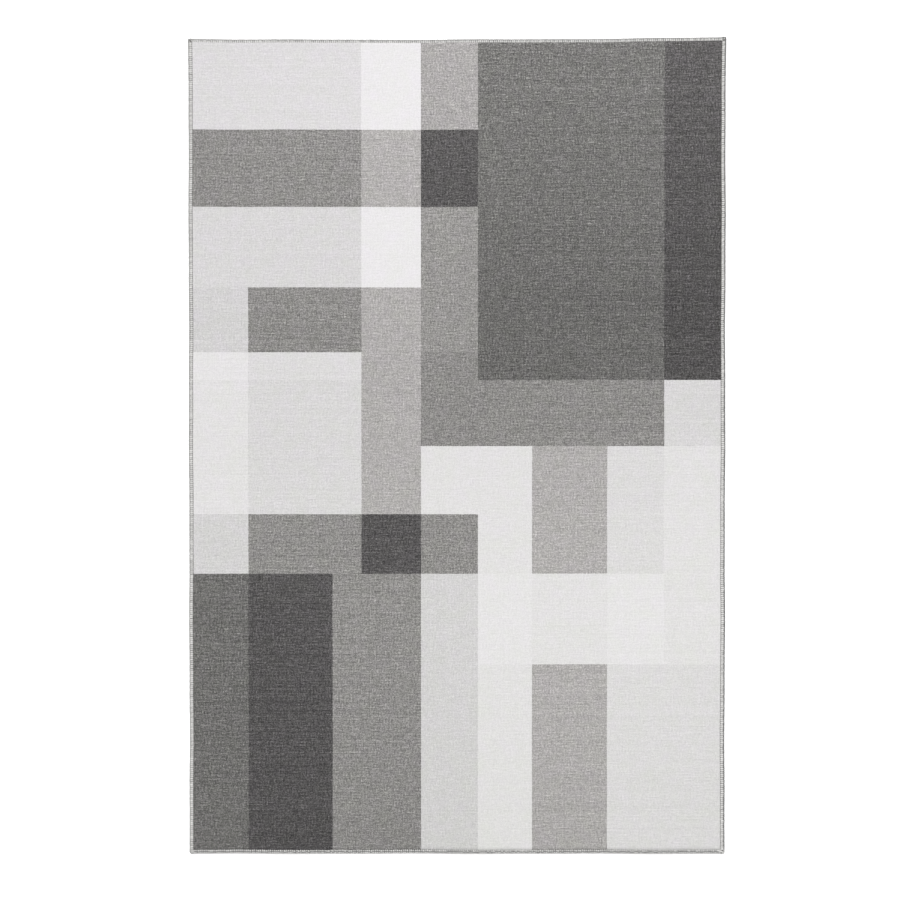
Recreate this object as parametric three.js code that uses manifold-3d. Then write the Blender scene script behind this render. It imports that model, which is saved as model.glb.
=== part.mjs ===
// Area rug: a low-pile cloth on its backings, with a serged edge all the way round.
//
// Millimetres, +Z up. The origin is the middle of the underside, +Y runs along the length towards the far
// end, and +X points to the right-hand side. The rug lies flat on Z = 0.
//
// From the top down the layers are the pile face, the primary backing that the pile is set in, a latex coat
// and a felt backing. At the rim the pile and the felt are squeezed thin, and the serging yarn wraps round
// all four layers. A needle thread runs along the foot of the pile and holds the wraps.

import * as THREE from 'three';
import { mergeVertices } from 'three/addons/utils/BufferGeometryUtils.js';
import Module from 'manifold-3d';

// ---- Driving dimensions ----
const RUG_WIDTH = 1000;
const RUG_LENGTH = 1520;
const CORNER_RADIUS = 8;
const FIT_GAP = 0.3; // between neighbouring pieces

// Serged edge, as a section across the rim.
const WRAP_THICKNESS = 1.2; // yarn over, round and under the rim
const WRAP_REACH = 7; // from the outer edge in over the face
const WRAP_ROUNDING = 2.5; // of the section's two outer corners
const THREAD_WIDTH = 0.8;

// Layers, from the floor up. The rim values are the thickness where the serging squeezes a layer.
const FELT_THICKNESS = 2.2;
const FELT_RIM = 0.7;
const LATEX_THICKNESS = 0.8;
const PRIMARY_THICKNESS = 0.7;
const PILE_HEIGHT = 3.4;
const PILE_RIM = 1.9;
const PILE_SHOULDER = 0.9; // rounding of the pile's top edge beside the seam

const ARC_STEPS = 6; // per quarter turn

// ---- Sizes worked out from them ----
const LATEX_BASE = FELT_THICKNESS + FIT_GAP;
const PRIMARY_BASE = LATEX_BASE + LATEX_THICKNESS + FIT_GAP;
const PILE_BASE = PRIMARY_BASE + PRIMARY_THICKNESS + FIT_GAP;
const RUG_HEIGHT = PILE_BASE + PILE_HEIGHT;
const FELT_RIM_BASE = FELT_THICKNESS - FELT_RIM;
const PILE_RIM_TOP = PILE_BASE + PILE_RIM;

// Distances in from the rug's outer edge.
const LAYER_INSET = WRAP_THICKNESS + FIT_GAP; // where the layers end, inside the wraps
const THREAD_INSET = WRAP_REACH + FIT_GAP;
const FULL_HEIGHT_INSET = THREAD_INSET + THREAD_WIDTH + FIT_GAP; // where pile and felt are full height

// ---- Solid helpers ----
const wasm = await Module();
wasm.setup();

function toSolid(geometry) {
  const bare = geometry.clone();
  bare.deleteAttribute('normal');
  bare.deleteAttribute('uv');
  const merged = mergeVertices(bare);
  return new wasm.Manifold(new wasm.Mesh({
    numProp: 3,
    vertProperties: new Float32Array(merged.attributes.position.array),
    triVerts: new Uint32Array(merged.index.array),
  }));
}

function toGeometry(solid) {
  const mesh = solid.getMesh();
  const geometry = new THREE.BufferGeometry();
  geometry.setAttribute('position', new THREE.BufferAttribute(mesh.vertProperties, 3));
  geometry.setIndex(new THREE.BufferAttribute(mesh.triVerts, 1));
  geometry.computeVertexNormals();
  return geometry;
}

// The rug's outline drawn in by inset, as a rectangle with round corners centred on the origin.
function rugOutline(inset) {
  const halfWidth = RUG_WIDTH / 2 - inset;
  const halfLength = RUG_LENGTH / 2 - inset;
  const radius = Math.max(CORNER_RADIUS - inset, FIT_GAP);
  const x = halfWidth - radius;
  const y = halfLength - radius;
  const shape = new THREE.Shape();
  shape.absarc(x, y, radius, 0, Math.PI / 2);
  shape.absarc(-x, y, radius, Math.PI / 2, Math.PI);
  shape.absarc(-x, -y, radius, Math.PI, 1.5 * Math.PI);
  shape.absarc(x, -y, radius, 1.5 * Math.PI, 2 * Math.PI);
  return shape;
}

// A flat plate of the rug's outline between two heights.
function plate(inset, base, top) {
  const geometry = new THREE.ExtrudeGeometry(rugOutline(inset), {
    depth: top - base,
    bevelEnabled: false,
    curveSegments: ARC_STEPS,
  });
  return geometry.translate(0, 0, base);
}

// A plate whose top and bottom edges are rounded by radius.
function roundedPlate(inset, base, top, radius) {
  const geometry = new THREE.ExtrudeGeometry(rugOutline(inset + radius), {
    depth: top - base - 2 * radius,
    bevelThickness: radius,
    bevelSize: radius,
    bevelSegments: 3,
    curveSegments: ARC_STEPS,
  });
  return geometry.translate(0, 0, base + radius);
}

// The serging's section: x is the distance in from the outer edge, taken as negative, and y is the height.
// It is a channel, open towards the middle of the rug, whose two outer corners are round.
function wrapSection() {
  const top = RUG_HEIGHT;
  const slotTop = top - WRAP_THICKNESS;
  const r = WRAP_ROUNDING;
  const section = new THREE.Shape();
  section.moveTo(-WRAP_REACH, 0);
  section.absarc(-r, r, r, -Math.PI / 2, 0);
  section.absarc(-r, top - r, r, 0, Math.PI / 2);
  section.lineTo(-WRAP_REACH, top);
  section.lineTo(-WRAP_REACH, slotTop);
  section.lineTo(-WRAP_THICKNESS, slotTop);
  section.lineTo(-WRAP_THICKNESS, WRAP_THICKNESS);
  section.lineTo(-WRAP_REACH, WRAP_THICKNESS);
  section.closePath();
  return section;
}

// ---- Layers ----
function pileFace() {
  const rim = toSolid(plate(LAYER_INSET, PILE_BASE, PILE_RIM_TOP));
  const buried = PILE_RIM_TOP - PILE_SHOULDER;
  const crown = toSolid(roundedPlate(FULL_HEIGHT_INSET, buried, RUG_HEIGHT, PILE_SHOULDER));
  return toGeometry(rim.add(crown));
}

function primaryBacking() {
  return plate(LAYER_INSET, PRIMARY_BASE, PRIMARY_BASE + PRIMARY_THICKNESS);
}

function latexCoat() {
  return plate(LAYER_INSET, LATEX_BASE, LATEX_BASE + LATEX_THICKNESS);
}

function feltBacking() {
  const rim = toSolid(plate(LAYER_INSET, FELT_RIM_BASE, FELT_THICKNESS));
  const body = toSolid(plate(FULL_HEIGHT_INSET, 0, FELT_THICKNESS));
  return toGeometry(rim.add(body));
}

// ---- Serged edge ----
// A straight run of wraps along Y, with its outer edge at x = 0 and the rug on its -X side.
function sergingRun(length) {
  const geometry = new THREE.ExtrudeGeometry(wrapSection(), {
    depth: length,
    bevelEnabled: false,
    curveSegments: ARC_STEPS,
  });
  geometry.rotateX(Math.PI / 2);
  return geometry.translate(0, length / 2, 0);
}

// The fan of wraps round the corner between +X and +Y, with the corner's centre at the origin.
function cornerWrap() {
  const profile = wrapSection().getPoints(ARC_STEPS).map(
    (point) => new THREE.Vector2(CORNER_RADIUS + point.x, point.y),
  );
  const ring = new THREE.LatheGeometry(profile, 4 * ARC_STEPS);
  ring.rotateX(Math.PI / 2);
  const quarter = new THREE.BoxGeometry(CORNER_RADIUS, CORNER_RADIUS, 2 * RUG_HEIGHT);
  const middle = CORNER_RADIUS / 2 + FIT_GAP / 2;
  quarter.translate(middle, middle, 0);
  return toGeometry(toSolid(ring).intersect(toSolid(quarter)));
}

// A straight run of needle thread along Y, lying on the squeezed pile with its outer side at x = 0.
function threadRun(length) {
  const radius = THREAD_WIDTH / 2;
  const geometry = new THREE.CylinderGeometry(radius, radius, length, 2 * ARC_STEPS);
  return geometry.translate(-radius, 0, PILE_RIM_TOP + FIT_GAP + radius);
}

// ---- Assembly ----
const rug = new THREE.Group();

function add(name, geometry, material, x = 0, y = 0, turn = 0) {
  const mesh = new THREE.Mesh(geometry, new THREE.MeshStandardMaterial(material));
  mesh.name = name;
  mesh.position.set(x, y, 0);
  mesh.rotation.z = turn;
  rug.add(mesh);
}

const PILE = { color: 0xa9a7a6, roughness: 0.95, metalness: 0 };
const WOVEN = { color: 0xcfcabf, roughness: 0.9, metalness: 0 };
const LATEX = { color: 0xd8d1c0, roughness: 0.6, metalness: 0 };
const FELT = { color: 0x8d8a85, roughness: 1, metalness: 0 };
const SERGING_YARN = { color: 0xcac8c4, roughness: 0.75, metalness: 0 };
const NEEDLE_THREAD = { color: 0x8f8d8a, roughness: 0.6, metalness: 0 };

add('felt_backing', feltBacking(), FELT);
add('latex_coat', latexCoat(), LATEX);
add('primary_backing', primaryBacking(), WOVEN);
add('pile_face', pileFace(), PILE);

// Each side: its name, how far its outer edge is from the middle, how long it is and which way it faces.
const SIDES = [
  { name: 'right', reach: RUG_WIDTH / 2, length: RUG_LENGTH, turn: 0 },
  { name: 'far', reach: RUG_LENGTH / 2, length: RUG_WIDTH, turn: Math.PI / 2 },
  { name: 'left', reach: RUG_WIDTH / 2, length: RUG_LENGTH, turn: Math.PI },
  { name: 'near', reach: RUG_LENGTH / 2, length: RUG_WIDTH, turn: -Math.PI / 2 },
];
for (const { name, reach, length, turn } of SIDES) {
  const straight = length - 2 * CORNER_RADIUS - FIT_GAP;
  const threaded = length - 2 * FULL_HEIGHT_INSET;
  const out = { x: Math.cos(turn), y: Math.sin(turn) };
  add(`serged_edge_${name}`, sergingRun(straight), SERGING_YARN, reach * out.x, reach * out.y, turn);
  const seam = reach - THREAD_INSET;
  add(`seam_thread_${name}`, threadRun(threaded), NEEDLE_THREAD, seam * out.x, seam * out.y, turn);
}

// Each corner: its name and the quarter turn that brings it round from the +X, +Y one.
const CORNERS = ['far_right', 'far_left', 'near_left', 'near_right'];
CORNERS.forEach((name, quarterTurns) => {
  const turn = quarterTurns * Math.PI / 2;
  const x = (RUG_WIDTH / 2 - CORNER_RADIUS) * Math.sign(Math.cos(turn + Math.PI / 4));
  const y = (RUG_LENGTH / 2 - CORNER_RADIUS) * Math.sign(Math.sin(turn + Math.PI / 4));
  add(`corner_wrap_${name}`, cornerWrap(), SERGING_YARN, x, y, turn);
});

export default rug;
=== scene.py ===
"""A low-pile area rug with a serged edge, lying flat on a pale floor and seen from straight above.

Metres, in the frame's axes: +X to the right, +Y towards the far end, +Z up, and the floor at Z = 0.
Each piece is first made flat and true, as it was cut, and laid() then puts it on the floor as cloth lies.
"""
import math

import bpy
import numpy as np
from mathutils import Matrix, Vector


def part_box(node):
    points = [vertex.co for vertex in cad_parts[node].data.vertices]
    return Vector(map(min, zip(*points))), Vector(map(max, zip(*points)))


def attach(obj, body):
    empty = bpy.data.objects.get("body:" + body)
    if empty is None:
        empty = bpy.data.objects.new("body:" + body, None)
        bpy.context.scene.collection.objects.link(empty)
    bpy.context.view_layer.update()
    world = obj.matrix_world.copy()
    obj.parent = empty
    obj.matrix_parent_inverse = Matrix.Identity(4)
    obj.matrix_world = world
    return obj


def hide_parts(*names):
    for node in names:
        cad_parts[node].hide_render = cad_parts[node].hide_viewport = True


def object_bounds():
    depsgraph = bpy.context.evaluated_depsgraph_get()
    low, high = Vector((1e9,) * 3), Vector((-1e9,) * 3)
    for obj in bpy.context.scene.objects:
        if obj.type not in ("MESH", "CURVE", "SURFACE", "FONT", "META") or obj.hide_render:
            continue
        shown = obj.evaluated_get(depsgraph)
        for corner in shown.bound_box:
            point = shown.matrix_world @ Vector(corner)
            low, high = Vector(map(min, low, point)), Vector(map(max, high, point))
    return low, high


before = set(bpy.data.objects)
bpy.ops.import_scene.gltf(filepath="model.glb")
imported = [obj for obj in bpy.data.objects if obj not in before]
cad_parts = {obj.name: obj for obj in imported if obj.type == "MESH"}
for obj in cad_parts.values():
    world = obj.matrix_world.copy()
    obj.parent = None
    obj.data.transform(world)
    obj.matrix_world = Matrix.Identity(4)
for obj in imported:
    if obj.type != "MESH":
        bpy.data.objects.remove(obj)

cad_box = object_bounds()
rng = np.random.default_rng(7)
MM = 0.001

# ---- Sizes, all from the frame ----
HALF_WIDTH, HALF_LENGTH, THICKNESS = cad_box[1]


def extent(node, axis):
    """The lowest and highest place of a CAD node along one axis."""
    lowest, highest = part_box(node)
    return lowest[axis], highest[axis]


WRAP_REACH = -np.subtract(*extent("serged_edge_right", 0))
RUN_END = extent("serged_edge_far", 0)[1]
CORNER_START = extent("corner_wrap_far_right", 0)[0]
FIT_GAP = CORNER_START - RUN_END
CORNER_RADIUS = HALF_WIDTH - (RUN_END + CORNER_START) / 2
THREAD_INNER, THREAD_OUTER = extent("seam_thread_right", 0)
THREAD_BASE, THREAD_TOP = extent("seam_thread_right", 2)
THREAD_WIDTH = THREAD_OUTER - THREAD_INNER
THREAD_INSET = HALF_WIDTH - (THREAD_INNER + THREAD_OUTER) / 2
LAYER_INSET = HALF_WIDTH - extent("pile_face", 0)[1]
FULL_HEIGHT_INSET = HALF_WIDTH - THREAD_INNER + FIT_GAP
PILE_BASE = extent("pile_face", 2)[0]
PILE_RIM_TOP = THREAD_BASE - FIT_GAP
YARN_THICKNESS = LAYER_INSET - FIT_GAP
TINY = 1e-9                 # keeps a distance from being zero

# ---- The camera, straight above ----
PHOTO_SIDE = 1.6785         # what the picture spans at the height of the pile
LENS_MM = 85
SENSOR_MM = 36
VIEW_END = 100
CAMERA_X, CAMERA_Y = -0.0130, -0.0062   # the rug sits a little right of and above the picture's middle


def add_camera():
    data = bpy.data.cameras.new("camera")
    data.lens = LENS_MM
    data.sensor_width = SENSOR_MM
    data.clip_end = VIEW_END
    camera = bpy.data.objects.new("camera", data)
    height = THICKNESS + PHOTO_SIDE * LENS_MM / SENSOR_MM
    camera.location = (CAMERA_X, CAMERA_Y, height)
    bpy.context.collection.objects.link(camera)
    bpy.context.scene.camera = camera


# ---- How the cloth lies ----
SPREAD = 0.0009             # the yarn stands proud of the long edges, by this share of the width
TAPER = 0.0028              # the far end is wider than the middle by this share, and the near end narrower
FAR_BOW = 2.8 * MM          # the far edge bows outwards towards its corners
BOW_MIDDLE = -0.25          # where across the width the bow is least
BOW_FADE = 4                # how fast it fades towards the near end, as a power
WOBBLE = 0.35 * MM          # how far a sewn edge strays from a straight line
ROLL_WAVE = 0.5 * MM        # waves left from having been rolled up
ROLL_LENGTH = 0.41
EDGE_CURL = 0.8 * MM        # how far the sewn edge may stand off the floor
CURL_REACH = 22 * MM
CORNER_CURL = 3.0 * MM      # the far right corner stands up the most
CORNER_CURL_REACH = 55 * MM
NAP = 2.6 * MM              # how far the pile's tips lean towards the far end
# Sine waves that make the cloth uneven: each one's radians to the metre, its start and its share.
ROLL_SKEW = ((2.3, 0.4, 0.9),)
CURL_WAVES = ((9.1, 0.0, 0.3), (23.0, 1.7, 0.2))
LONG_SIDE_WAVES = ((17.0, 1.1, 1.0), (41.0, 2.0, 0.6))
END_WAVES = ((19.0, 0.3, 1.0), (37.0, 1.0, 0.6))
# Of the outline at each corner: 2 is round, and a high number is square.
SQUARENESS = {"far_right": 9, "far_left": 8, "near_left": 3.2, "near_right": 5}


def ripple(along, waves):
    """The sum of a few sine waves at each place along a line."""
    return sum(share * np.sin(rate * along + start) for rate, start, share in waves)


def inset_of(x, y):
    """How far in from the rug's outer edge each place is, as if the corners were square."""
    return np.minimum(HALF_WIDTH - np.abs(x), HALF_LENGTH - np.abs(y))


def lift(x, y):
    """How far the cloth stands off the floor at each place."""
    waves = 0.5 + 0.5 * np.sin(2 * np.pi * y / ROLL_LENGTH + ripple(x, ROLL_SKEW))
    uneven = 0.5 + ripple(x + y, CURL_WAVES)
    curl = EDGE_CURL * uneven * np.exp(-np.maximum(inset_of(x, y), 0) / CURL_REACH)
    to_corner = np.hypot(x - HALF_WIDTH, y - HALF_LENGTH)
    corner = CORNER_CURL * np.exp(-to_corner / CORNER_CURL_REACH)
    return ROLL_WAVE * waves + curl + corner


def laid(points):
    """Where the points of a flat, true piece go once the rug lies on the floor."""
    x, y, z = np.moveaxis(points, -1, 0)
    across, along = x / HALF_WIDTH, y / HALF_LENGTH
    wander_x = WOBBLE * ripple(y, LONG_SIDE_WAVES) * across
    wander_y = WOBBLE * ripple(x, END_WAVES) * along
    bow = FAR_BOW * (across - BOW_MIDDLE) ** 2 * np.clip(0.5 + along / 2, 0, 1) ** BOW_FADE
    return np.stack([
        x * (1 + SPREAD + TAPER * along) + wander_x,
        y + bow + wander_y,
        z + lift(x, y),
    ], axis=-1)


def corner_reach(across, along, power):
    """How far a corner of reach 1 goes out in the direction (across, along).

    The corner is a square with its point rounded off, and the power says how square it is.
    """
    return np.hypot(across, along) / (np.abs(across) ** power + np.abs(along) ** power) ** (1 / power)


def rounded(points):
    """Draws a flat sheet's square corners in to the rug's rounded ones."""
    centre = np.array([HALF_WIDTH, HALF_LENGTH]) - CORNER_RADIUS
    past = np.abs(points[..., :2]) - centre
    reach = past.max(axis=-1)
    distance = np.maximum(np.hypot(past[..., 0], past[..., 1]), TINY)
    in_corner = (past > 0).all(axis=-1)
    roundest = min(SQUARENESS.values())
    outline = corner_reach(past[..., 0] / distance, past[..., 1] / distance, roundest)
    shrink = np.where(in_corner, reach * outline / distance, 1.0)[..., None]
    flat = np.sign(points[..., :2]) * (centre + past * shrink)
    return np.concatenate([np.where(in_corner[..., None], flat, points[..., :2]), points[..., 2:]], axis=-1)


# ---- Pieces ----
def make_piece(name, points, faces, material, nodes, attributes=None):
    """A mesh object that rides on the rug and stands for these CAD nodes."""
    mesh = bpy.data.meshes.new(name)
    mesh.from_pydata(points.tolist(), [], faces)
    mesh.materials.append(material)
    mesh.polygons.foreach_set("use_smooth", [True] * len(mesh.polygons))
    for key, values in (attributes or {}).items():
        kind, field = ("FLOAT_VECTOR", "vector") if values.ndim == 2 else ("FLOAT", "value")
        mesh.attributes.new(key, kind, "POINT").data.foreach_set(field, values.ravel())
    piece = bpy.data.objects.new(name, mesh)
    bpy.context.collection.objects.link(piece)
    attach(piece, "root")
    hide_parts(*nodes)
    return piece


SHOWN_SHARE = 0.90          # of a sheet's texture, for its side that shows
OTHER_START, OTHER_SHARE = 0.91, 0.07
RIM_START, RIM_SHARE = 0.99, 0.01
RIM_NORMAL = 0.05           # a face is on the rim if its normal rises no more than this


def add_bake_map(piece, shown):
    """A texture map for a sheet that gives most of the square to the side that shows.

    shown is 1 for the top and -1 for the underside.
    """
    mesh = piece.data
    corners = np.zeros(len(mesh.loops), int)
    mesh.loops.foreach_get("vertex_index", corners)
    places = np.zeros(3 * len(mesh.vertices))
    mesh.vertices.foreach_get("co", places)
    normals = np.zeros(3 * len(mesh.polygons))
    mesh.polygons.foreach_get("normal", normals)
    totals = np.zeros(len(mesh.polygons), int)
    mesh.polygons.foreach_get("loop_total", totals)
    facing = shown * np.repeat(normals.reshape(-1, 3)[:, 2], totals)
    place = places.reshape(-1, 3)[corners]
    low, high = place.min(axis=0), place.max(axis=0)
    across, along, up = ((place - low) / (high - low)).T
    level = np.abs(facing) > RIM_NORMAL
    side = np.where(facing > 0, SHOWN_SHARE * along, OTHER_START + OTHER_SHARE * along)
    v = np.where(level, side, RIM_START + RIM_SHARE * up)
    u = np.where(level, across, (across + along) / 2)
    mesh.uv_layers.new(name="OFBake").uv.foreach_set("vector", np.stack([u, v], axis=-1).ravel())


def grid_lines(half, insets, pitch):
    """Grid lines across a sheet: the given distances in from its edges, and an even pitch between them."""
    rim = half - np.sort(insets)
    count = max(2, round(2 * rim[-1] / pitch))
    inner = np.linspace(-rim[-1], rim[-1], count + 1)[1:-1]
    return np.concatenate([-rim, inner, rim[::-1]])


def slab(insets, pitch, top, bottom, under_step=1):
    """Points and faces of a closed sheet of the rug's outline.

    top and bottom give its heights at arrays of x and y. The underside keeps one row in under_step.
    """
    xs = grid_lines(HALF_WIDTH, insets, pitch)
    ys = grid_lines(HALF_LENGTH, insets, pitch)
    columns, rows = len(xs), len(ys)
    x, y = np.meshgrid(xs, ys)
    upper = np.stack([x, y, top(x, y)], axis=-1).reshape(-1, 3)
    lower = np.stack([x, y, bottom(x, y)], axis=-1).reshape(-1, 3)
    over = np.arange(rows * columns).reshape(rows, columns)
    under = over + rows * columns

    squares = np.stack([over[:-1, :-1], over[:-1, 1:], over[1:, 1:], over[1:, :-1]], axis=-1)
    faces = squares.reshape(-1, 4).tolist()
    kept = list(range(0, rows - 1, under_step)) + [rows - 1]
    for first, last in zip(kept[:-1], kept[1:]):
        for column in range(columns - 1):
            left = under[first:last + 1, 0] if column == 0 else under[[first, last], column]
            right = under[first:last + 1, -1] if column == columns - 2 else under[[first, last], column + 1]
            faces.append(left.tolist() + right[::-1].tolist())
    around = np.concatenate([over[0, :-1], over[:-1, -1], over[-1, :0:-1], over[:0:-1, 0]])
    for a, b in zip(around, np.roll(around, -1)):
        faces.append([int(a + rows * columns), int(b + rows * columns), int(b), int(a)])

    points = np.concatenate([upper, lower])
    used = np.unique(np.concatenate([np.array(face) for face in faces]))
    new_index = np.zeros(len(points), int)
    new_index[used] = np.arange(len(used))
    return rounded(points[used]), [new_index[face].tolist() for face in faces]


# ---- Node helpers ----
NOISE_LOW, NOISE_MIDDLE, NOISE_HIGH = 0.3, 0.5, 0.7     # where most of a noise's values lie


class Look:
    """A material under construction: calls that add a node and give back its output."""

    def __init__(self, name):
        self.material = bpy.data.materials.new(name)
        self.material.use_nodes = True
        self.tree = self.material.node_tree
        self.tree.nodes.clear()
        self.shader = self.tree.nodes.new("ShaderNodeBsdfPrincipled")
        output = self.tree.nodes.new("ShaderNodeOutputMaterial")
        self.tree.links.new(self.shader.outputs["BSDF"], output.inputs["Surface"])

    def put(self, value, socket):
        """Links an output to a socket, or sets the socket to a plain value."""
        if isinstance(value, bpy.types.NodeSocket):
            self.tree.links.new(value, socket)
        else:
            socket.default_value = value

    def node(self, kind, inputs=(), **settings):
        made = self.tree.nodes.new("ShaderNode" + kind)
        for key, value in settings.items():
            setattr(made, key, value)
        for key, value in dict(inputs).items():
            self.put(value, made.inputs[key])
        return made

    def math(self, operation, *values):
        return self.node("Math", enumerate(values), operation=operation).outputs[0]

    def vector_math(self, operation, *values):
        return self.node("VectorMath", enumerate(values), operation=operation).outputs[0]

    def attribute(self, name, output="Vector"):
        return self.node("Attribute", attribute_name=name).outputs[output]

    def noise(self, vector, scale=1.0, detail=1.0, roughness=0.5):
        inputs = {"Vector": vector, "Scale": scale, "Detail": detail, "Roughness": roughness}
        return self.node("TexNoise", inputs).outputs["Fac"]

    def remap(self, value, low, high):
        """Takes a noise's usual values to low..high."""
        ends = {"From Min": NOISE_LOW, "From Max": NOISE_HIGH, "To Min": low, "To Max": high}
        return self.node("MapRange", {"Value": value, **ends}, clamp=False).outputs["Result"]

    def colour(self, red, green, blue):
        return self.node("CombineColor", {"Red": red, "Green": green, "Blue": blue}).outputs["Color"]

    def shaded(self, shade, colour):
        """A colour, given as three numbers, made lighter or darker."""
        return self.colour(*(self.math("MULTIPLY", shade, part) for part in colour))

    def mix_colour(self, factor, first, second):
        mix = self.node("Mix", {0: factor, 6: first, 7: second}, data_type="RGBA")
        return mix.outputs[2]

    def sum_of(self, parts):
        """The sum of each value's distance from its middle times its weight."""
        total = 0.0
        for value, middle, weight in parts:
            total = self.math("ADD", total, self.math("MULTIPLY_ADD", value, weight, -middle * weight))
        return total

    def bump(self, height, distance, strength=1.0):
        inputs = {"Height": height, "Distance": distance, "Strength": strength}
        return self.node("Bump", inputs).outputs["Normal"]

    def finish(self, **inputs):
        for key, value in inputs.items():
            self.put(value, self.shader.inputs[key.replace("_", " ")])
        return self.material


# ---- The pile's block pattern ----
# Lines between the blocks, in millimetres from the rug's middle: columns left to right, rows far to near.
COLUMN_LINES = (-389, -232, -178, -67, 39, 140, 280, 386)
ROW_LINES = (591, 447, 297, 176, 124, 1, -126, -237, -406)
# The rows run from the far end to the near end.
BLOCKS = (
    "PPPWsDDDK",
    "MMMSKDDDK",
    "LLLWmDDDK",
    "lMMSmdddK",
    "VPPSMdddK",
    "OLLSMMMML",
    "OLLSOOSPO",
    "lMMKMOSPO",
    "DKMMlVOVO",
    "DKMMlOSPP",
)
# Each dye's reflectance in green light, and what its red and blue are of that.
DYES = {
    "W": (0.750, 1.015, 1.001),
    "V": (0.715, 1.016, 1.003),
    "O": (0.690, 1.015, 0.997),
    "P": (0.650, 1.016, 0.999),
    "L": (0.625, 1.015, 0.997),
    "l": (0.590, 1.015, 0.998),
    "S": (0.384, 1.036, 0.983),
    "s": (0.333, 1.036, 0.983),
    "m": (0.274, 1.028, 0.970),
    "M": (0.237, 1.028, 0.970),
    "D": (0.135, 1.020, 0.966),
    "d": (0.1325, 1.020, 0.966),
    "K": (0.0755, 1.043, 1.002),
}
HEATHERLESS = 0.80          # a dye as pale as this would have the least heather


def block_pattern(look, x, y):
    """The colour of the block at (x, y): each row's ramp takes the column's number as a share of the last."""
    column = 0.0
    for line in COLUMN_LINES:
        column = look.math("ADD", column, look.math("GREATER_THAN", x, line * MM))
    share = look.math("DIVIDE", column, len(COLUMN_LINES))
    pattern = None
    for row, letters in enumerate(BLOCKS):
        ramp = look.node("ValToRGB", {"Fac": share})
        stops = ramp.color_ramp
        stops.interpolation = "CONSTANT"
        for number, letter in enumerate(letters):
            start = max(0, number - 0.5) / len(COLUMN_LINES)
            green, red_share, blue_share = DYES[letter]
            stop = stops.elements.new(start) if number else stops.elements[0]
            stop.position = start
            stop.color = (green * red_share, green, green * blue_share, 1)
        ready_made_end = stops.elements[len(stops.elements) - 1]
        stops.elements.remove(ready_made_end)
        band = ramp.outputs["Color"]
        if pattern is None:
            pattern = band
        else:
            nearer = look.math("LESS_THAN", y, ROW_LINES[row - 1] * MM)
            pattern = look.mix_colour(nearer, pattern, band)
    return pattern


PAINTED_LIGHT_SPAN = 0.10             # painted light and shade: how much paler or darker the colours are painted from end to end, on the right
PAINTED_LIGHT_SLOPE = 1.6
PAINTED_LIGHT_OFFSET = 0.05          # how much of the slope the colours are painted paler by in the middle
PAINTED_LIGHT_WAVE = 0.48
PAINTED_LIGHT_LENGTH = 1.46          # of the wave, in half lengths of the rug
PAINTED_LIGHT_START = 0.63           # where the wave starts, in half lengths from the middle towards the far end
PAINTED_LIGHT_FULL = 0.1             # how far right of the middle the painted light is at its full, in half widths


def painted_light_power(look, x, y):
    """The power that a dye's reflectance takes at (x, y) for painted light and shade: under 1 it is painted
    paler, and over 1 darker.

    The colours are painted palest at the far end and darkest at the near one, with a wave in between, more so
    to the right and hardly at all along the left edge.
    """
    near = look.math("MULTIPLY", y, -1 / HALF_LENGTH)
    slope = look.math("MULTIPLY_ADD", near, PAINTED_LIGHT_SLOPE / 2, -PAINTED_LIGHT_OFFSET * PAINTED_LIGHT_SLOPE)
    rate = 2 * math.pi / PAINTED_LIGHT_LENGTH
    turn = look.math("MULTIPLY_ADD", near, rate, rate * PAINTED_LIGHT_START)
    wave = look.math("MULTIPLY", look.math("SINE", turn), PAINTED_LIGHT_WAVE)
    ends = {"From Min": -HALF_WIDTH, "From Max": PAINTED_LIGHT_FULL * HALF_WIDTH}
    share = look.node("MapRange", {"Value": x, **ends}).outputs["Result"]
    amount = look.math("MULTIPLY", look.math("ADD", slope, wave), share)
    return look.math("MULTIPLY_ADD", amount, PAINTED_LIGHT_SPAN, 1.0)


TUFT_PITCH = 1.05 * MM      # between the pile's rows, both ways
TUFT_LENGTH = 1.4 * MM      # of a tuft along its row
TUFT_RANDOMNESS = 0.9       # of where each tuft stands: 0 is a true grid
STRAND_LENGTH = 20 * MM     # how far one shade of yarn runs on along a row
CROSS_LENGTH = 14 * MM      # and across the rows
ROW_LENGTH = 700 * MM       # how far a whole row keeps its shade
YARN_PAIR = 5.6 * MM        # two rows of yarn, one of which may be a shade darker than the other
PAIR_PATCH = 12 * MM        # how far the same row of each pair stays the darker
# How much each kind of unevenness weighs in the heather.
TUFT_WEIGHT = 4.3
STRAND_WEIGHT, CROSSING_WEIGHT = 4.5, 3.4
ROW_WEIGHT, COLUMN_WEIGHT = 3.4, 1.5
ROW_PAIR_WEIGHT, COLUMN_PAIR_WEIGHT = 5.0, 4.4
STRAND_RELIEF = 0.8         # how much the strands raise the pile, beside the tufts' own roundness
BLOCK_RAGGEDNESS = 1.2 * MM     # how far a block's outline strays
RAGGED_LENGTH = 3.5 * MM    # and over what length
HEATHER = 0.34              # how much a deep dye's tufts differ
LEAST_HEATHER = 0.07        # of that, for the palest dye
HEATHER_POWER = 1.7         # how much faster than a dye's depth its heather grows
TINT_PATCH = 25 * MM        # how wide the patches of slightly pinker or greener yarn are
TINT_DRIFT = 0.018          # how much their blue differs
RED_DRIFT = 0.5             # and their red, as a share of that
END_TINT = 0.021            # how much pinker white yarn would be at the far end than in the middle


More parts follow.
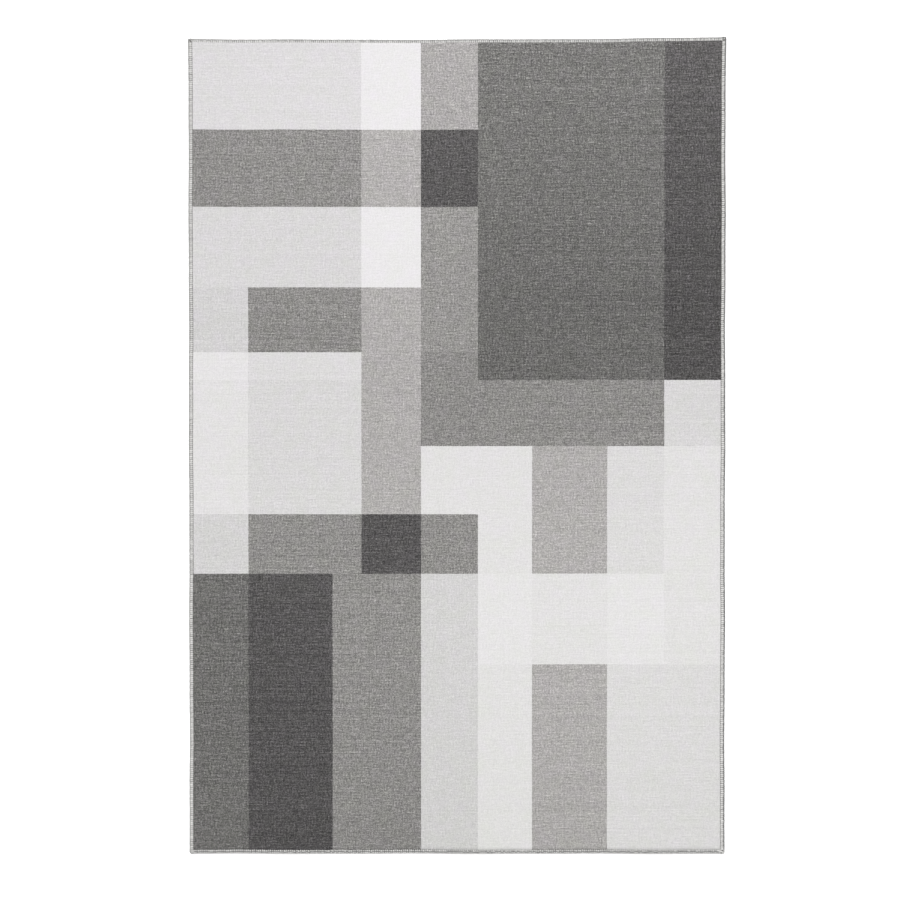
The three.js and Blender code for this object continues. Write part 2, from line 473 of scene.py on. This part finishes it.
def heathered(look, cloth):
    """How light or dark the yarn is at each place, the relief of its tufts, and the strands in it."""

    def stretched(length, width):
        return look.vector_math("MULTIPLY", cloth, (1 / length, 1 / width, 0))

    def pairs(position, patches):
        wave = look.math("SINE", look.math("MULTIPLY", position, 2 * math.pi / YARN_PAIR))
        return look.math("MULTIPLY", wave, look.math("SUBTRACT", patches, NOISE_MIDDLE))

    spots = {"Vector": stretched(TUFT_LENGTH, TUFT_PITCH), "Scale": 1.0, "Randomness": TUFT_RANDOMNESS}
    cells = look.node("TexVoronoi", spots, voronoi_dimensions="2D")
    tufts = look.node("SeparateColor", {"Color": cells.outputs["Color"]}).outputs["Red"]
    strands = look.noise(stretched(STRAND_LENGTH, TUFT_PITCH))
    crossings = look.noise(stretched(TUFT_PITCH, CROSS_LENGTH))
    rows = look.noise(stretched(ROW_LENGTH, TUFT_PITCH))
    columns = look.noise(stretched(TUFT_PITCH, ROW_LENGTH))
    place = look.node("SeparateXYZ", {"Vector": cloth})
    row_pairs = pairs(place.outputs["Y"], look.noise(stretched(STRAND_LENGTH, PAIR_PATCH)))
    column_pairs = pairs(place.outputs["X"], look.noise(stretched(PAIR_PATCH, CROSS_LENGTH)))
    heather = look.sum_of((
        (tufts, NOISE_MIDDLE, TUFT_WEIGHT),
        (strands, NOISE_MIDDLE, STRAND_WEIGHT),
        (crossings, NOISE_MIDDLE, CROSSING_WEIGHT),
        (rows, NOISE_MIDDLE, ROW_WEIGHT),
        (columns, NOISE_MIDDLE, COLUMN_WEIGHT),
        (row_pairs, 0.0, ROW_PAIR_WEIGHT),
        (column_pairs, 0.0, COLUMN_PAIR_WEIGHT),
    ))
    tuft_top = look.math("SUBTRACT", 1.0, cells.outputs["Distance"])
    relief = look.math("MULTIPLY_ADD", strands, STRAND_RELIEF, tuft_top)
    return heather, relief, strands


def ragged_place(look, cloth):
    """The x and y at which the block pattern is read, so that the blocks' outlines stray a little."""
    noise = look.node("TexNoise", {"Vector": cloth, "Scale": 1 / RAGGED_LENGTH, "Detail": 1.0})
    middle = (NOISE_MIDDLE, NOISE_MIDDLE, NOISE_MIDDLE)
    shift = look.vector_math("SUBTRACT", noise.outputs["Color"], middle)
    shift = look.vector_math("MULTIPLY", shift, (BLOCK_RAGGEDNESS, BLOCK_RAGGEDNESS, 0))
    place = look.node("SeparateXYZ", {"Vector": look.vector_math("ADD", cloth, shift)})
    return place.outputs["X"], place.outputs["Y"]


def pile_material():
    """Heathered pile: tufts of lighter and darker yarn, in rows, over the block pattern, with painted light
    and shade from end to end.
    """
    look = Look("pile")
    cloth = look.attribute("cloth")
    heather, relief, strands = heathered(look, cloth)
    x, y = ragged_place(look, cloth)
    dye = block_pattern(look, x, y)
    tone = look.node("SeparateColor", {"Color": dye}).outputs["Green"]

    # Painted light and shade: each colour is painted paler towards the far end and darker towards the near
    # end.
    painted_light = look.math("POWER", tone, look.math("SUBTRACT", painted_light_power(look, x, y), 1.0))
    depth = look.math("POWER", look.math("MULTIPLY_ADD", tone, -1 / HEATHERLESS, 1.0), HEATHER_POWER)
    swing = look.math("MULTIPLY", look.math("ADD", depth, LEAST_HEATHER), HEATHER)
    shade = look.math("MULTIPLY", painted_light, look.math("EXPONENT", look.math("MULTIPLY", heather, swing)))
    patches = look.remap(look.noise(cloth, scale=1 / TINT_PATCH), -TINT_DRIFT, TINT_DRIFT)
    pinkness = look.math("MULTIPLY_ADD", look.math("MULTIPLY", tone, y), END_TINT / HALF_LENGTH, patches)
    red_shade = look.math("MULTIPLY", shade, look.math("MULTIPLY_ADD", pinkness, RED_DRIFT, 1.0))
    blue_shade = look.math("MULTIPLY", shade, look.math("ADD", pinkness, 1.0))
    return look.finish(
        Base_Color=look.vector_math("MULTIPLY", dye, look.colour(red_shade, shade, blue_shade)),
        Roughness=look.remap(strands, 0.85, 1.0),
        Normal=look.bump(relief, 0.25 * MM, 0.5),
        Sheen_Weight=0.08,
        Sheen_Roughness=0.5,
        Specular_IOR_Level=0.2,
    )


# ---- The layers ----
PILE_PITCH = 4.4 * MM
UNDER_STEP = 8              # the pile's underside keeps one grid row in this many
SHOULDER_STEPS = np.array([0, 0.06, 0.25, 0.55, 1.0])   # across the pile's rounded rim
TUFT_RELIEF = 0.05 * MM
HIDDEN_PITCH = 24 * MM
FELT_PITCH = 9 * MM
FELT_FUZZ = 0.08 * MM
TAPE_WIDTH = 1.6 * MM       # of the primary backing's weave
LATEX_LUMP = 2.5 * MM
# The felt's textures, in cells to the metre.
FIBRE_SCALE, CLOUD_SCALE, NEEDLE_SCALE = 700.0, 30.0, 900.0
NEEDLE_SHADE = 0.3          # how fast the felt gets lighter away from its needle marks


def add_pile():
    """The pile: full height inside the seam, rounded over beside it, and squeezed thin under the wraps."""
    shoulder = THICKNESS - PILE_RIM_TOP

    def top(x, y):
        inset = inset_of(x, y)
        over = np.clip(inset - FULL_HEIGHT_INSET, 0, shoulder)
        crown = PILE_RIM_TOP + np.sqrt(shoulder ** 2 - (shoulder - over) ** 2)
        relief = TUFT_RELIEF * rng.standard_normal(x.shape)
        return np.where(inset > FULL_HEIGHT_INSET, crown + relief, PILE_RIM_TOP)

    def bottom(x, y):
        return np.full(x.shape, PILE_BASE)

    arc = FULL_HEIGHT_INSET + shoulder * SHOULDER_STEPS
    insets = np.concatenate([[LAYER_INSET, WRAP_REACH / 2], arc])
    flat, faces = slab(insets, PILE_PITCH, top, bottom, UNDER_STEP)
    flat[:, 1] += NAP * np.clip((flat[:, 2] - PILE_RIM_TOP) / shoulder, 0, 1)
    piece = make_piece(
        "pile_face_heathered", laid(flat), faces, pile_material(), ["pile_face"],
        {"cloth": flat},
    )
    add_bake_map(piece, shown=1)


def plain_sheet(name, node, material):
    """A hidden layer of the node's own thickness, laid as the rest is."""
    base, top_height = extent(node, 2)
    flat, faces = slab(
        np.array([LAYER_INSET, WRAP_REACH]), HIDDEN_PITCH,
        lambda x, y: np.full(x.shape, top_height), lambda x, y: np.full(x.shape, base),
    )
    piece = make_piece(name, laid(flat), faces, material, [node], {"cloth": flat})
    add_bake_map(piece, shown=1)


def woven_material():
    """Thin plain-woven backing cloth."""
    look = Look("primary_backing")
    cloth = look.attribute("cloth")
    place = look.node("SeparateXYZ", {"Vector": cloth})
    over = look.math("SINE", look.math("MULTIPLY", place.outputs["X"], math.pi / TAPE_WIDTH))
    under = look.math("SINE", look.math("MULTIPLY", place.outputs["Y"], math.pi / TAPE_WIDTH))
    weave = look.math("MULTIPLY", over, under)
    ends = {"From Min": -1.0, "To Min": 0.78, "To Max": 1.05}
    shade = look.node("MapRange", {"Value": weave, **ends}).outputs["Result"]
    return look.finish(
        Base_Color=look.shaded(shade, (0.64, 0.61, 0.54)),
        Roughness=look.remap(shade, 0.8, 0.9),
        Normal=look.bump(weave, 0.2 * MM),
    )


def latex_material():
    """A matt, slightly lumpy rubber coat."""
    look = Look("latex")
    cloth = look.attribute("cloth")
    lumps = look.noise(cloth, scale=1 / LATEX_LUMP, detail=3.0)
    return look.finish(
        Base_Color=look.shaded(look.remap(lumps, 0.9, 1.05), (0.70, 0.66, 0.55)),
        Roughness=look.remap(lumps, 0.5, 0.7),
        Normal=look.bump(lumps, 0.3 * MM),
    )


def felt_material():
    """Needled felt: matted fibres with rows of needle marks."""
    look = Look("felt")
    cloth = look.attribute("cloth")
    mat = look.noise(cloth, scale=FIBRE_SCALE, detail=4.0, roughness=0.7)
    cloud = look.noise(cloth, scale=CLOUD_SCALE, detail=3.0)
    needles = look.node("TexVoronoi", {"Vector": cloth, "Scale": NEEDLE_SCALE}, feature="DISTANCE_TO_EDGE")
    shade = look.math("MULTIPLY", look.remap(mat, 0.8, 1.2), look.remap(cloud, 0.95, 1.05))
    shade = look.math("MULTIPLY_ADD", needles.outputs["Distance"], NEEDLE_SHADE, shade)
    return look.finish(
        Base_Color=look.shaded(shade, (0.27, 0.26, 0.24)),
        Roughness=look.remap(mat, 0.9, 1.0),
        Normal=look.bump(mat, 0.5 * MM),
    )


def add_felt():
    """The felt: full thickness on the floor, and squeezed thin under the wraps."""
    base, top_height = extent("felt_backing", 2)
    rim_base = YARN_THICKNESS + FIT_GAP

    def bottom(x, y):
        step = np.clip((inset_of(x, y) - WRAP_REACH) / (FULL_HEIGHT_INSET - WRAP_REACH), 0, 1)
        fibres = FELT_FUZZ * rng.random(x.shape)
        return rim_base + (base - rim_base) * step + fibres

    insets = np.array([LAYER_INSET, WRAP_REACH / 2, WRAP_REACH, FULL_HEIGHT_INSET])
    flat, faces = slab(insets, FELT_PITCH, lambda x, y: np.full(x.shape, top_height), bottom)
    piece = make_piece(
        "felt_backing_needled", laid(flat), faces, felt_material(), ["felt_backing"],
        {"cloth": flat},
    )
    add_bake_map(piece, shown=-1)


# ---- The serged edge ----
STITCH_PITCH = 3.75 * MM
BEAD_MIDDLE = 4.5 * MM      # from the outer edge to the middle of the bead
BEAD_SQUARENESS = 3.2       # of the bead's section: 2 is an ellipse
SEAM_ANGLE = 150            # how far round the bead, from its outermost line, the yarn goes in at the seam
WRAP_STATIONS = 21
WRAP_SIDES = 8
WRAP_HALF_WIDTH = 0.49 * STITCH_PITCH
WRAP_STRAY = 0.25 * MM      # how far a wrap strays along the run
LEAN = 0.35                 # how far a wrap leans along the run, in stitches
TOOTH_START = 108           # the angle from which a wrap narrows to where it goes in
TOOTH = 0.5                 # by how much of its width
CORNER_WRAPS = 5
LEAST_FAN = 0.25            # how narrow a corner's wrap gets towards its middle, of its full width
# From wrap to wrap: where it goes in, in degrees round the bead, its thickness, its width and its shade.
SEAM_STRAY = (-12, 10)
THICKNESS_SPREAD = (0.92, 1.12)
WIDTH_SPREAD = (0.90, 1.06)
RUN_SHADES = (0.88, 1.08)
CORNER_SHADES = (0.80, 1.08)
BEAD_STRAY = 0.15 * MM      # how far a wrap stands in or out of the row
SIDE_PAINTED_SHADE = 0.38            # painted shade: how much darker the bead's outer side is painted
GAP_PAINTED_SHADE = 0.45             # painted shade: how much darker the wraps' own sides are painted, next to each other
# A line of painted shade along the bead, as if in a groove: how far in from the outer edge it is,
# and how much darker it is painted.
GROOVES = {
    "right": (1.75 * MM, 0.92),
    "far": (2.4 * MM, 0.50),
    "left": (2.4 * MM, 0.40),
    "near": (4.8 * MM, 0.86),
}
GROOVE_WIDTH = 1.1 * MM


def tubes(rings):
    """Points and faces of closed tubes. rings holds the points as [tube, station, side, xyz]."""
    count, stations, sides = rings.shape[:3]
    index = np.arange(count * stations * sides).reshape(count, stations, sides)
    after = np.roll(index, -1, axis=2)
    walls = np.stack([index[:, :-1], after[:, :-1], after[:, 1:], index[:, 1:]], axis=-1).reshape(-1, 4)
    ends = np.concatenate([index[:, 0, ::-1], index[:, -1]])
    return rings.reshape(-1, 3), walls.tolist() + ends.tolist()


def ring_angles(sides):
    return np.linspace(0, 2 * np.pi, sides, endpoint=False)


def power_wave(wave):
    """Takes a sine or cosine to that of the bead's squared ellipse."""
    return np.sign(wave) * np.abs(wave) ** (2 / BEAD_SQUARENESS)


def bead_inset(angle):
    """How far in from the outer edge the yarn is, at this angle round the bead."""
    return BEAD_MIDDLE - (BEAD_MIDDLE - YARN_THICKNESS / 2) * power_wave(np.cos(angle))


def yarn_wraps(bases, outwards, runs, radius):
    """Rings of one yarn wrap for each base point on the outer edge line.

    outwards and runs are each wrap's level directions out of the rug and along its edge. radius is how far
    each base is from the point that the wraps fan out of, and infinite on a straight run.
    """
    count = len(bases)
    angle_end = np.radians(SEAM_ANGLE + rng.uniform(*SEAM_STRAY, (count, 1)))
    angle = np.linspace(1, -1, WRAP_STATIONS) * angle_end
    half_yarn = YARN_THICKNESS / 2 * rng.uniform(*THICKNESS_SPREAD, (count, 1))
    rise = THICKNESS / 2 - YARN_THICKNESS / 2
    inset = bead_inset(angle) + BEAD_STRAY * rng.uniform(-1, 1, (count, 1))
    height = THICKNESS / 2 + rise * power_wave(np.sin(angle))
    slope_inset = np.gradient(inset, axis=1)
    slope_height = np.gradient(height, axis=1)
    length = np.hypot(slope_inset, slope_height)
    normal_inset, normal_height = slope_height / length, -slope_inset / length

    side = ring_angles(WRAP_SIDES)
    narrow = np.maximum(1 - inset / radius[:, None], LEAST_FAN)
    past_start = (np.abs(np.degrees(angle)) - TOOTH_START) / (SEAM_ANGLE - TOOTH_START)
    tooth = 1 - TOOTH * np.clip(past_start, 0, 1)
    half_width = WRAP_HALF_WIDTH * narrow * tooth * rng.uniform(*WIDTH_SPREAD, (count, 1))
    lean = LEAN * STITCH_PITCH * np.linspace(-0.5, 0.5, WRAP_STATIONS) * np.isinf(radius)[:, None]
    stray = WRAP_STRAY * rng.uniform(-1, 1, (count, 1))
    across = half_width[..., None] * np.sin(side) + (lean + stray)[..., None]
    out = half_yarn[..., None] * np.cos(side)
    inset = inset[..., None] + normal_inset[..., None] * out
    height = height[..., None] + normal_height[..., None] * out
    level = (
        bases[:, None, None]
        - outwards[:, None, None] * inset[..., None]
        + runs[:, None, None] * across[..., None]
    )
    return np.concatenate([level, height[..., None]], axis=-1)


def wrap_shades(count, low, high, groove, groove_painted_shade):
    """A shade for each point of each wrap: its own, and darker where shade is painted.

    Painted shade darkens the bead's outer side, a line along the bead, and the gaps between the wraps.
    """
    angle = np.radians(SEAM_ANGLE) * np.linspace(1, -1, WRAP_STATIONS)
    painted_side_shade = 1 - SIDE_PAINTED_SHADE * np.clip(np.cos(angle), 0, 1) ** 2
    line = 1 - groove_painted_shade * np.exp(-((bead_inset(angle) - groove) / GROOVE_WIDTH) ** 2)
    gap = 1 - GAP_PAINTED_SHADE * np.abs(np.sin(ring_angles(WRAP_SIDES))) ** 4
    return rng.uniform(low, high, (count, 1, 1)) * (painted_side_shade * line)[:, None] * gap


PLY_SHADE = 0.05            # painted light and shade: how much lighter the plies are painted, and how much darker the gaps between them
FLUFF_SCALE = 1500.0        # in cells to the metre
YARN_COLOUR, YARN_TWIST = (0.84, 0.832, 0.814), 3.0 * MM
THREAD_COLOUR, THREAD_TWIST = (0.26, 0.255, 0.245), 1.2 * MM


def yarn_material(name, colour, twist):
    """Twisted yarn: plies that run slantwise round it, and a shade that differs from wrap to wrap, painted
    shade included.
    """
    look = Look(name)
    place = look.node("SeparateXYZ", {"Vector": look.attribute("yarn_place")})
    turn = look.math("MULTIPLY_ADD", place.outputs["Y"], 2 * math.pi / twist, place.outputs["X"])
    ply = look.math("SINE", look.math("MULTIPLY", turn, 2.0))
    fluff = look.noise(look.node("TexCoord").outputs["Object"], scale=FLUFF_SCALE, detail=2.0)
    shade = look.math("MULTIPLY_ADD", ply, PLY_SHADE, look.remap(fluff, 0.93, 1.07))
    shade = look.math("MULTIPLY", shade, place.outputs["Z"])
    return look.finish(
        Base_Color=look.shaded(shade, colour),
        Roughness=look.remap(fluff, 0.6, 0.8),
        Normal=look.bump(look.math("MULTIPLY_ADD", fluff, 0.5, ply), 0.15 * MM),
        Sheen_Weight=0.15,
        Sheen_Roughness=0.4,
    )


def yarn_places(rings, shades):
    """Per point: the angle round its yarn, the distance along it, and its shade, painted shade included,
    which may be shared.
    """
    count, stations, sides = rings.shape[:3]
    middle = rings.mean(axis=2)
    steps = np.linalg.norm(np.diff(middle, axis=1), axis=-1)
    far = np.concatenate([np.zeros((count, 1)), np.cumsum(steps, axis=1)], axis=1)
    places = np.zeros((count, stations, sides, 3))
    places[..., 0] = ring_angles(sides)
    places[..., 1] = far[..., None]
    places[..., 2] = shades
    return places.reshape(-1, 3)


# The way each side faces, in degrees, how far out it is, and half its length.
SIDES = {
    "right": (0, HALF_WIDTH, HALF_LENGTH),
    "far": (90, HALF_LENGTH, HALF_WIDTH),
    "left": (180, HALF_WIDTH, HALF_LENGTH),
    "near": (-90, HALF_LENGTH, HALF_WIDTH),
}
# The way a corner's first wrap faces, and the side it comes from.
CORNERS = {
    "far_right": (0, "right"),
    "far_left": (90, "far"),
    "near_left": (180, "left"),
    "near_right": (-90, "near"),
}
TAIL_START = np.array([14, 7]) * MM     # of the yarn's loose end, in from the near right corner
TAIL_END = np.array([2.5, 3.5]) * MM
TAIL_HALF_WIDTH = 1.2 * MM


def directions(degrees):
    """The level directions out of the rug and along its edge, for edges that face these ways."""
    angle = np.radians(degrees)
    return np.stack([np.cos(angle), np.sin(angle)], -1), np.stack([-np.sin(angle), np.cos(angle)], -1)


def corner_middle(facing):
    """The place that a corner's wraps fan out of."""
    quadrant = np.sign(directions(facing + 45)[0])
    return quadrant * (np.array([HALF_WIDTH, HALF_LENGTH]) - CORNER_RADIUS)


def yarn_tail():
    """The yarn's loose end, which lies slantwise over the near right corner."""
    outer = np.array([HALF_WIDTH, HALF_LENGTH])
    quadrant = np.array([1, -1])
    share = np.linspace(0, 1, WRAP_STATIONS)[:, None]
    middle = quadrant * (outer - (TAIL_START + (TAIL_END - TAIL_START) * share))
    run = quadrant * (TAIL_START - TAIL_END)
    across = np.array([-run[1], run[0]]) / np.hypot(*run) * TAIL_HALF_WIDTH
    side = ring_angles(WRAP_SIDES)
    ring = np.zeros((1, WRAP_STATIONS, WRAP_SIDES, 3))
    ring[0, :, :, :2] = middle[:, None] + across * np.sin(side)[:, None]
    sunk = YARN_THICKNESS * np.abs(2 * share - 1) ** 3
    ring[0, :, :, 2] = THICKNESS - sunk + YARN_THICKNESS / 2 * np.cos(side)
    return ring


def add_serging():
    """The four runs of yarn wraps and the four fans round the corners."""
    yarn = yarn_material("serging_yarn", YARN_COLOUR, YARN_TWIST)
    for side, (facing, reach, half_run) in SIDES.items():
        half = half_run - CORNER_RADIUS
        count = round(2 * half / STITCH_PITCH)
        along = (np.arange(count) + 0.5) / count * 2 * half - half
        outward, run = directions(facing)
        bases = outward * reach + run * along[:, None]
        outwards, runs = np.tile(outward, (count, 1)), np.tile(run, (count, 1))
        rings = yarn_wraps(bases, outwards, runs, np.full(count, np.inf))
        shades = wrap_shades(count, *RUN_SHADES, *GROOVES[side])
        points, faces = tubes(laid(rings))
        make_piece(
            f"serging_yarn_{side}", points, faces, yarn, [f"serged_edge_{side}"],
            {"yarn_place": yarn_places(rings, shades)},
        )
    for corner, (facing, side) in CORNERS.items():
        turns = facing + (np.arange(CORNER_WRAPS) + 0.5) / CORNER_WRAPS * 90
        outward, run = directions(turns)
        centre = corner_middle(facing)
        radius = CORNER_RADIUS * corner_reach(outward[:, 0], outward[:, 1], SQUARENESS[corner])
        rings = yarn_wraps(centre + outward * radius[:, None], outward, run, radius)
        shades = wrap_shades(CORNER_WRAPS, *CORNER_SHADES, *GROOVES[side])
        if corner == "near_right":
            rings = np.concatenate([rings, yarn_tail()])
            shades = np.concatenate([shades, np.ones_like(shades[:1])])
        points, faces = tubes(laid(rings))
        make_piece(
            f"corner_yarn_{corner}", points, faces, yarn, [f"corner_wrap_{corner}"],
            {"yarn_place": yarn_places(rings, shades)},
        )


THREAD_STATIONS = 6         # per stitch
THREAD_DIP = 0.5 * MM       # how far the thread goes down at each needle hole
THREAD_SIDES = 6
THREAD_SHADES = {"right": 1.7, "far": 2.0, "left": 1.7, "near": 0.5}   # painted light and shade: how light each side's thread is painted
HOLE_SHADE = 0.5            # painted shade: how much darker the thread is painted down a needle hole
# The stitches that tack each corner down, as angles round its fan of wraps.
CORNER_STITCHES = {
    "far_right": (18, 36, 72),
    "far_left": (36, 54),
    "near_left": (),
    "near_right": (18, 72),
}
STITCH_RADIUS = 0.8         # of a corner stitch, in widths of the seam's thread
STITCH_FROM, STITCH_TO = 0.15, 0.85     # of the way from the fan's middle to its outer edge
STITCH_SHADE = 0.6


def corner_stitches(corner):
    """Rings of the short stitches that lie on top of a corner's wraps."""
    facing = CORNERS[corner][0]
    outward, across = directions(facing + np.array(CORNER_STITCHES[corner], float))
    centre = corner_middle(facing)
    reach = CORNER_RADIUS * corner_reach(outward[:, 0], outward[:, 1], SQUARENESS[corner])
    share = np.linspace(0, 1, THREAD_STATIONS + 1)
    far = (STITCH_FROM + (STITCH_TO - STITCH_FROM) * share) * reach[:, None]
    side = ring_angles(THREAD_SIDES)
    radius = THREAD_WIDTH * STITCH_RADIUS
    level = (
        centre
        + outward[:, None, None] * far[..., None, None]
        + across[:, None, None] * (radius * np.cos(side))[:, None]
    )
    sunk = 2 * radius * np.abs(2 * share - 1) ** 2
    height = THICKNESS - sunk[:, None] + radius * np.sin(side)
    height = np.broadcast_to(height, level.shape[:-1])
    return np.concatenate([level, height[..., None]], axis=-1)


def seam_lines(facing, reach, half, count):
    """Rings of a side's two lines of thread: on the face, and locking it on the underside."""
    along = np.linspace(-half, half, count + 1)
    hole = 0.5 + 0.5 * np.cos(2 * np.pi * np.arange(count + 1) / THREAD_STATIONS)
    outward, run = directions(facing)
    side = ring_angles(THREAD_SIDES)
    radius = THREAD_WIDTH / 2
    inset = THREAD_INSET + radius * np.cos(side)
    rings = np.zeros((2, count + 1, THREAD_SIDES, 3))
    rings[..., :2] = outward * (reach - inset[None, :, None]) + run * along[:, None, None]
    face_height = (THREAD_BASE + THREAD_TOP) / 2
    for line, (height, dip) in enumerate(((face_height, -THREAD_DIP), (THICKNESS - face_height, THREAD_DIP))):
        rings[line, ..., 2] = height + dip * hole[:, None] + radius * np.sin(side)
    # Painted shade: the thread is darker where it dips down a needle hole.
    return rings, 1 - HOLE_SHADE * hole[:, None]


def add_seam_threads():
    """Each side's needle thread, with the stitches at the corner it runs on to."""
    material = yarn_material("needle_thread", THREAD_COLOUR, THREAD_TWIST)
    for corner, (facing, side) in CORNERS.items():
        reach, half_run = SIDES[side][1:]
        half = half_run - FULL_HEIGHT_INSET
        count = round(2 * half / STITCH_PITCH) * THREAD_STATIONS
        rings, shades = seam_lines(facing, reach, half, count)
        stitches = corner_stitches(corner)
        points, faces = tubes(laid(rings))
        stitch_points, stitch_faces = tubes(laid(stitches))
        faces += [[index + len(points) for index in face] for face in stitch_faces]
        places = [yarn_places(rings, THREAD_SHADES[side] * shades), yarn_places(stitches, STITCH_SHADE)]
        make_piece(
            f"needle_thread_{side}", np.concatenate([points, stitch_points]), faces, material,
            [f"seam_thread_{side}"], {"yarn_place": np.concatenate(places)},
        )


# ---- The studio ----
FLOOR_SIDE = 60.0
FLOOR_REFLECTANCE = 0.90
FLOOR_MOTTLE = 0.005
MOTTLE_SCALE = 3.0          # in cells to the metre
FLOOR_GLOW = 0.46           # the floor is lit from below too, as a light table is


def add_floor():
    """A wide, faintly mottled white floor."""
    look = Look("floor")
    place = look.node("TexCoord").outputs["Object"]
    mottle = look.noise(place, scale=MOTTLE_SCALE, detail=4.0)
    shade = look.remap(mottle, FLOOR_REFLECTANCE - FLOOR_MOTTLE, FLOOR_REFLECTANCE + FLOOR_MOTTLE)
    look.finish(
        Base_Color=look.colour(shade, shade, shade),
        Roughness=look.remap(mottle, 0.75, 0.85),
        Emission_Color=(1, 1, 1, 1),
        Emission_Strength=FLOOR_GLOW,
    )
    half = FLOOR_SIDE / 2
    mesh = bpy.data.meshes.new("floor")
    corners = [(-half, -half, 0), (half, -half, 0), (half, half, 0), (-half, half, 0)]
    mesh.from_pydata(corners, [], [(0, 1, 2, 3)])
    mesh.materials.append(look.material)
    floor = bpy.data.objects.new("floor", mesh)
    bpy.context.collection.objects.link(floor)


SKY = 0.62
OVERHEAD_HEIGHT = 8.0
OVERHEAD_SIDE = 4.0
OVERHEAD_POWER = 95
KEY_STRENGTH = 1.51
KEY_SPREAD = math.radians(22)
KEY_TILT = math.radians(45)     # from straight down
KEY_TURN = math.radians(200)    # it shines from beyond the far end, a little to the left


def add_light(name, kind, place, turn, **settings):
    data = bpy.data.lights.new(name, kind)
    for key, value in settings.items():
        setattr(data, key, value)
    light = bpy.data.objects.new(name, data)
    light.location = place
    light.rotation_euler = turn
    bpy.context.collection.objects.link(light)


def add_lights():
    """An even white sky, a wide box overhead and a large key light a long way off."""
    world = bpy.data.worlds.new("studio")
    world.use_nodes = True
    background = world.node_tree.nodes["Background"]
    background.inputs["Color"].default_value = (1, 1, 1, 1)
    background.inputs["Strength"].default_value = SKY
    bpy.context.scene.world = world
    overhead = {"shape": "SQUARE", "size": OVERHEAD_SIDE, "energy": OVERHEAD_POWER}
    add_light("overhead", "AREA", (0, 0, OVERHEAD_HEIGHT), (0, 0, 0), **overhead)
    key = {"energy": KEY_STRENGTH, "angle": KEY_SPREAD}
    add_light("key", "SUN", (0, 0, OVERHEAD_HEIGHT), (KEY_TILT, 0, KEY_TURN), **key)
    bpy.context.scene.view_settings.view_transform = "Standard"


add_camera()
add_floor()
add_lights()
add_felt()
plain_sheet("latex_coat_spread", "latex_coat", latex_material())
plain_sheet(
    "primary_backing_cloth", "primary_backing", woven_material(),
)
add_pile()
add_serging()
add_seam_threads()
